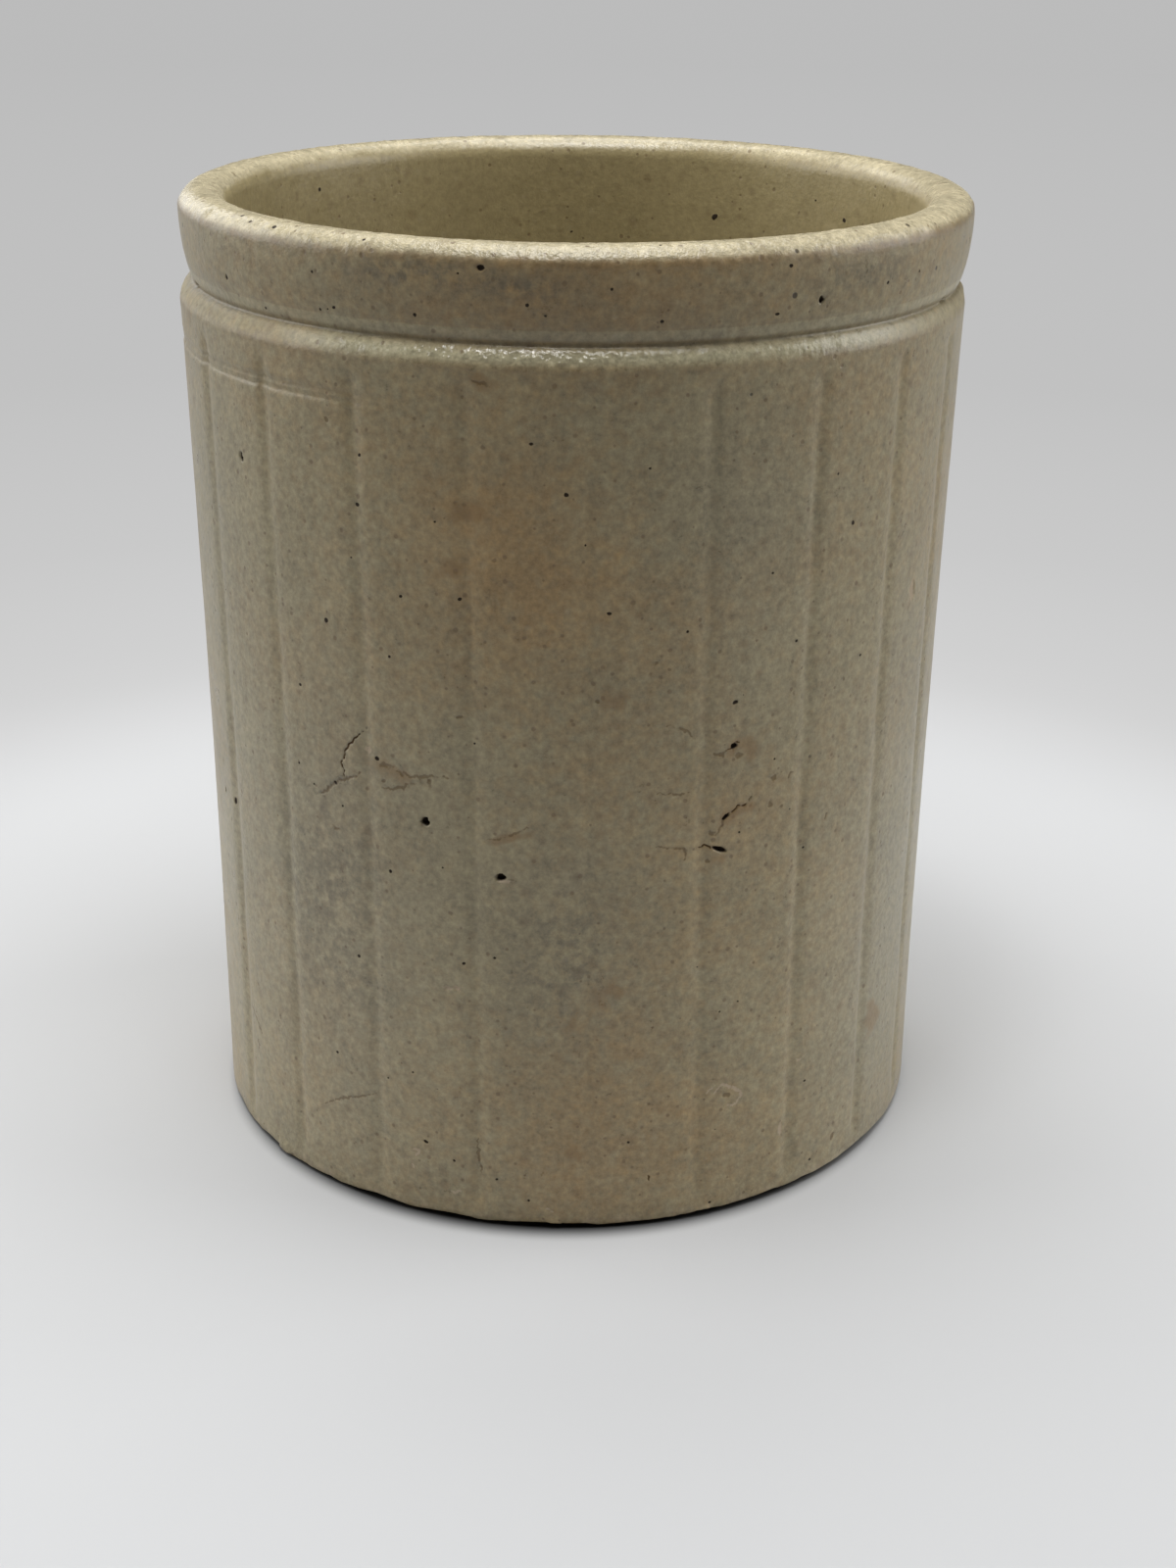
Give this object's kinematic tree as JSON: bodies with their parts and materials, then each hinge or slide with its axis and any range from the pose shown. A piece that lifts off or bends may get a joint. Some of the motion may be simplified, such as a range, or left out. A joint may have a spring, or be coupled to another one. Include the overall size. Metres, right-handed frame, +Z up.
{
  "type": "jam pot",
  "caption": "Straight-sided, slightly tapered stoneware jam pot with a rounded lip, a collar over a tying groove, a rounded shoulder and narrow, shallow upright flutes round the wall.",
  "frame": {"origin": "centre of the base, on the surface that the pot stands on", "axes": "+Z up along the pot's axis; -Y towards the viewer of the picture; +X to the viewer's right"},
  "size_m": [0.0802, 0.0802, 0.0992],
  "materials": {
    "glazed_stoneware": "satin to semi-gloss buff-grey glaze with iron specks"
  },
  "bodies": {
    "root": {"pot_body": "glazed_stoneware"}
  },
  "joints": []
}
